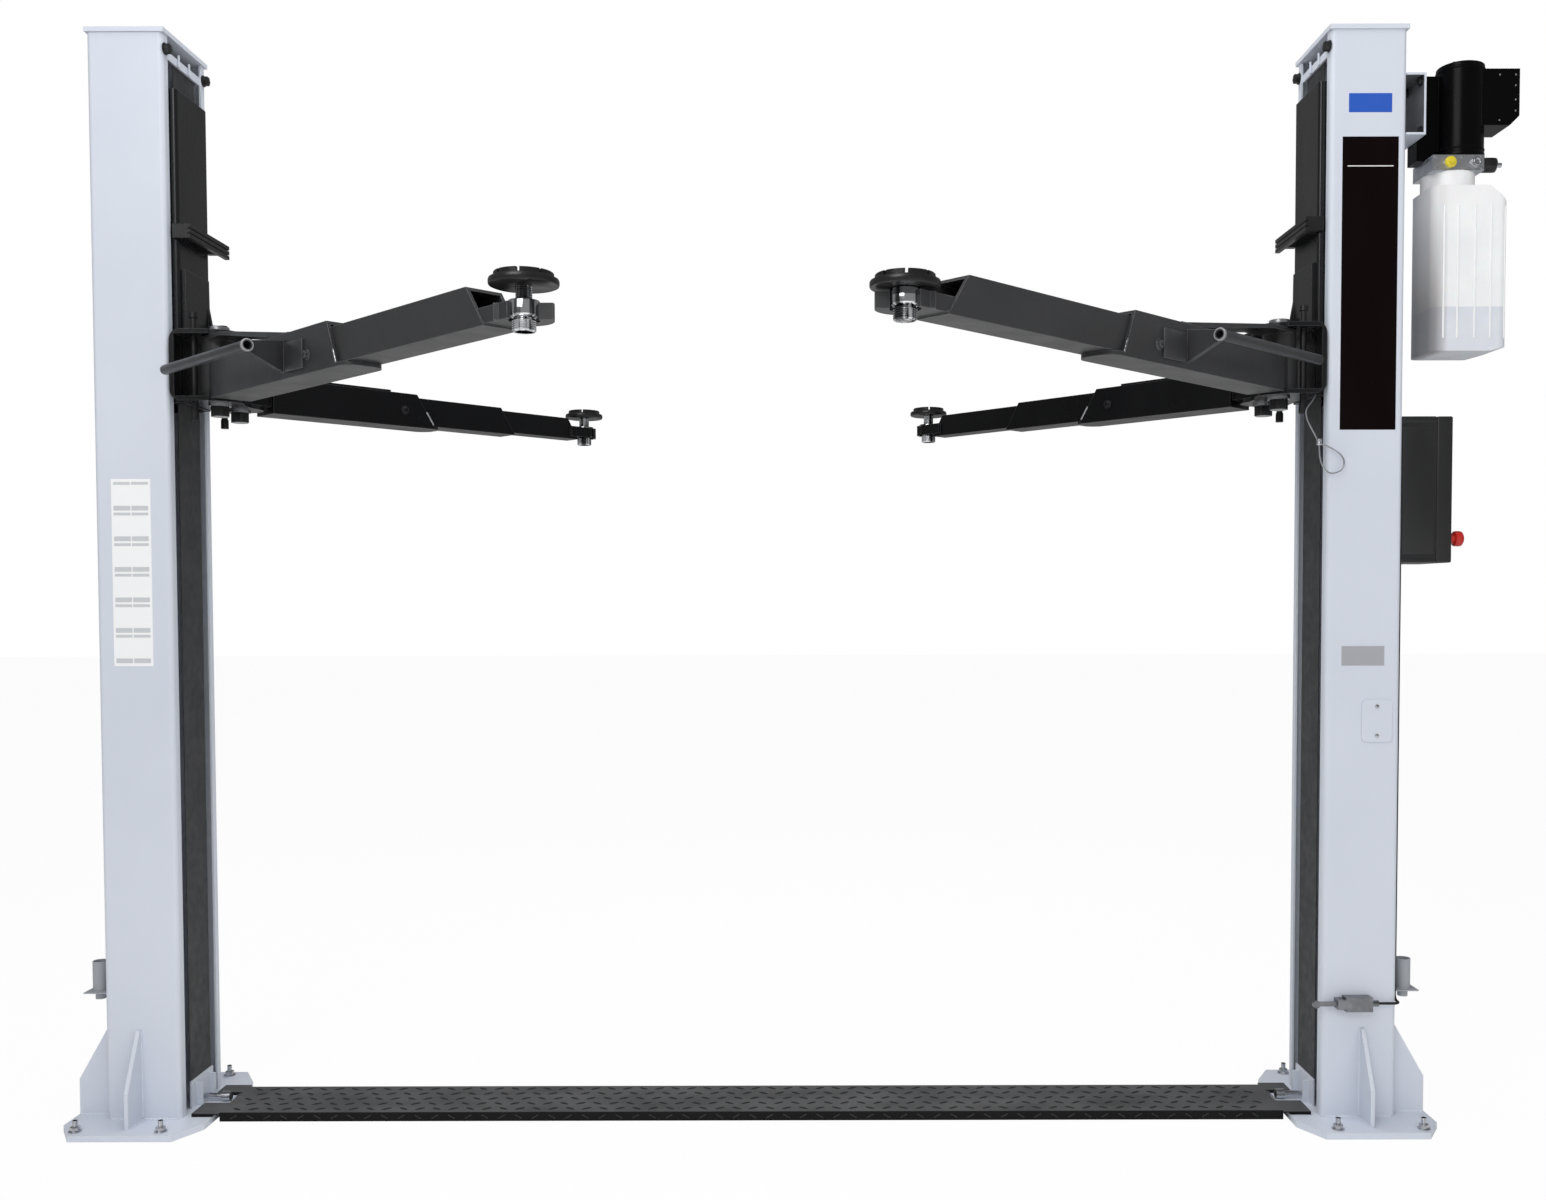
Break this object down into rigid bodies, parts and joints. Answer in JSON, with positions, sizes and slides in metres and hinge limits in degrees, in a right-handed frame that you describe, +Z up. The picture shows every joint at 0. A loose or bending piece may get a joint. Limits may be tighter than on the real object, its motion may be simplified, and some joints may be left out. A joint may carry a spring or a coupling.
{
  "type": "two post car lift",
  "caption": "Two post car lift: C columns on floor plates, lifting carriages with telescoping swing arms and screw pads, side power unit and floor cover.",
  "frame": {"origin": "on the floor, midway between the columns", "axes": "+X across the lift towards the column with the power unit, +Y along the car towards the far arms, +Z up"},
  "size_m": [3.744, 2.1492, 2.824],
  "materials": {
    "column_paint": "satin",
    "black_paint": "gloss",
    "grey_paint": "satin",
    "zinc": "satin",
    "belt": "matte",
    "cover_steel": "satin",
    "cast_alloy": "satin",
    "tank_plastic": "satin",
    "red_plastic": "gloss",
    "black_plastic": "gloss",
    "chrome": "polished",
    "black_rubber": "satin"
  },
  "bodies": {
    "frame": {"left_column": "column_paint", "right_column": "column_paint", "left_base_plate": "column_paint", "right_base_plate": "column_paint", "top_caps": "column_paint", "column_bolts": "zinc", "column_gussets": "column_paint", "dust_curtains": "belt", "curtain_fixings": "grey_paint", "lift_cylinders": "black_paint", "foot_pipes": "zinc", "adapter_racks": "grey_paint", "floor_cover": "cover_steel", "power_unit_bracket": "column_paint", "pump_motor": "black_paint", "terminal_box": "black_paint", "pump_block": "cast_alloy", "pump_fittings": "zinc", "oil_tank": "tank_plastic", "control_box": "column_paint", "limit_switch": "black_plastic", "switch_lead": "black_plastic", "hatch_cover": "column_paint"},
    "right_lift": {"right_carriage": "black_paint", "right_arm_bracket": "black_paint", "right_door_guard": "black_rubber", "right_pivot_pins": "zinc", "release_lanyard": "zinc"},
    "right_near_lock": {"right_near_lock_pin": "zinc"},
    "right_near_arm_body": {"right_near_arm": "black_paint"},
    "right_near_tip": {"right_near_extension": "black_paint", "right_near_collar": "chrome"},
    "right_near_pad_body": {"right_near_screw": "chrome", "right_near_pad": "black_rubber"},
    "right_far_lock": {"right_far_lock_pin": "zinc"},
    "right_far_arm_body": {"right_far_arm": "black_paint"},
    "right_far_middle_body": {"right_far_middle": "black_paint"},
    "right_far_tip": {"right_far_extension": "black_paint", "right_far_collar": "chrome"},
    "right_far_pad_body": {"right_far_screw": "chrome", "right_far_pad": "black_rubber"},
    "left_lift": {"left_carriage": "black_paint", "left_arm_bracket": "black_paint", "left_door_guard": "black_rubber", "left_pivot_pins": "zinc"},
    "left_near_lock": {"left_near_lock_pin": "zinc"},
    "left_near_arm_body": {"left_near_arm": "black_paint"},
    "left_near_tip": {"left_near_extension": "black_paint", "left_near_collar": "chrome"},
    "left_near_pad_body": {"left_near_screw": "chrome", "left_near_pad": "black_rubber"},
    "left_far_lock": {"left_far_lock_pin": "zinc"},
    "left_far_arm_body": {"left_far_arm": "black_paint"},
    "left_far_middle_body": {"left_far_middle": "black_paint"},
    "left_far_tip": {"left_far_extension": "black_paint", "left_far_collar": "chrome"},
    "left_far_pad_body": {"left_far_screw": "chrome", "left_far_pad": "black_rubber"},
    "stop_button_body": {"stop_button": "red_plastic"}
  },
  "joints": [
    {"name": "right_carriage_slide", "type": "slide", "parent": "frame", "child": "right_lift", "axis": [0, 0, 1], "range_m": [-1.78, 0.05], "deforming": ["release_lanyard"]},
    {"name": "right_near_lock_slide", "type": "slide", "parent": "right_lift", "child": "right_near_lock", "axis": [0, 0, 1], "range_m": [0, 0.02], "stiffness_N_per_m": 900, "springref_m": -0.01},
    {"name": "right_near_arm_swing", "type": "hinge", "parent": "right_lift", "child": "right_near_arm_body", "pos_m": [1.38, -0.062, 1.97], "axis": [0, 0, 1], "range_deg": [-34, 16]},
    {"name": "right_near_reach", "type": "slide", "parent": "right_near_arm_body", "child": "right_near_tip", "axis": [-0.7133, -0.7009, 0], "range_m": [-0.475, 0]},
    {"name": "right_near_pad_screw", "type": "slide", "parent": "right_near_tip", "child": "right_near_pad_body", "axis": [0, 0, 1], "range_m": [0, 0.045]},
    {"name": "right_far_lock_slide", "type": "slide", "parent": "right_lift", "child": "right_far_lock", "axis": [0, 0, 1], "range_m": [0, 0.02], "stiffness_N_per_m": 900, "springref_m": -0.01},
    {"name": "right_far_arm_swing", "type": "hinge", "parent": "right_lift", "child": "right_far_arm_body", "pos_m": [1.38, 0.062, 1.97], "axis": [0, 0, -1], "range_deg": [-36, 38]},
    {"name": "right_far_middle_reach", "type": "slide", "parent": "right_far_arm_body", "child": "right_far_middle_body", "axis": [-0.6884, 0.7254, 0], "range_m": [-0.315, 0]},
    {"name": "right_far_tip_reach", "type": "slide", "parent": "right_far_middle_body", "child": "right_far_tip", "axis": [-0.6884, 0.7254, 0], "range_m": [-0.262, 0]},
    {"name": "right_far_pad_screw", "type": "slide", "parent": "right_far_tip", "child": "right_far_pad_body", "axis": [0, 0, 1], "range_m": [-0.026, 0.03]},
    {"name": "left_carriage_slide", "type": "slide", "parent": "frame", "child": "left_lift", "axis": [0, 0, 1], "range_m": [-1.78, 0.05]},
    {"name": "left_near_lock_slide", "type": "slide", "parent": "left_lift", "child": "left_near_lock", "axis": [0, 0, 1], "range_m": [0, 0.02], "stiffness_N_per_m": 900, "springref_m": -0.01},
    {"name": "left_near_arm_swing", "type": "hinge", "parent": "left_lift", "child": "left_near_arm_body", "pos_m": [-1.38, -0.062, 1.97], "axis": [0, 0, -1], "range_deg": [-34, 16]},
    {"name": "left_near_reach", "type": "slide", "parent": "left_near_arm_body", "child": "left_near_tip", "axis": [0.7133, -0.7009, 0], "range_m": [-0.42, 0.055]},
    {"name": "left_near_pad_screw", "type": "slide", "parent": "left_near_tip", "child": "left_near_pad_body", "axis": [0, 0, 1], "range_m": [-0.026, 0.03]},
    {"name": "left_far_lock_slide", "type": "slide", "parent": "left_lift", "child": "left_far_lock", "axis": [0, 0, 1], "range_m": [0, 0.02], "stiffness_N_per_m": 900, "springref_m": -0.01},
    {"name": "left_far_arm_swing", "type": "hinge", "parent": "left_lift", "child": "left_far_arm_body", "pos_m": [-1.38, 0.062, 1.97], "axis": [0, 0, 1], "range_deg": [-36, 38]},
    {"name": "left_far_middle_reach", "type": "slide", "parent": "left_far_arm_body", "child": "left_far_middle_body", "axis": [0.6884, 0.7254, 0], "range_m": [-0.315, 0]},
    {"name": "left_far_tip_reach", "type": "slide", "parent": "left_far_middle_body", "child": "left_far_tip", "axis": [0.6884, 0.7254, 0], "range_m": [-0.2, 0.062]},
    {"name": "left_far_pad_screw", "type": "slide", "parent": "left_far_tip", "child": "left_far_pad_body", "axis": [0, 0, 1], "range_m": [-0.026, 0.03]},
    {"name": "stop_button_press", "type": "slide", "parent": "frame", "child": "stop_button_body", "axis": [-1, 0, 0], "range_m": [0, 0.005], "stiffness_N_per_m": 2000}
  ],
  "couplings": [
    {"joint": "left_carriage_slide", "follows": "right_carriage_slide", "ratio": 1}
  ]
}
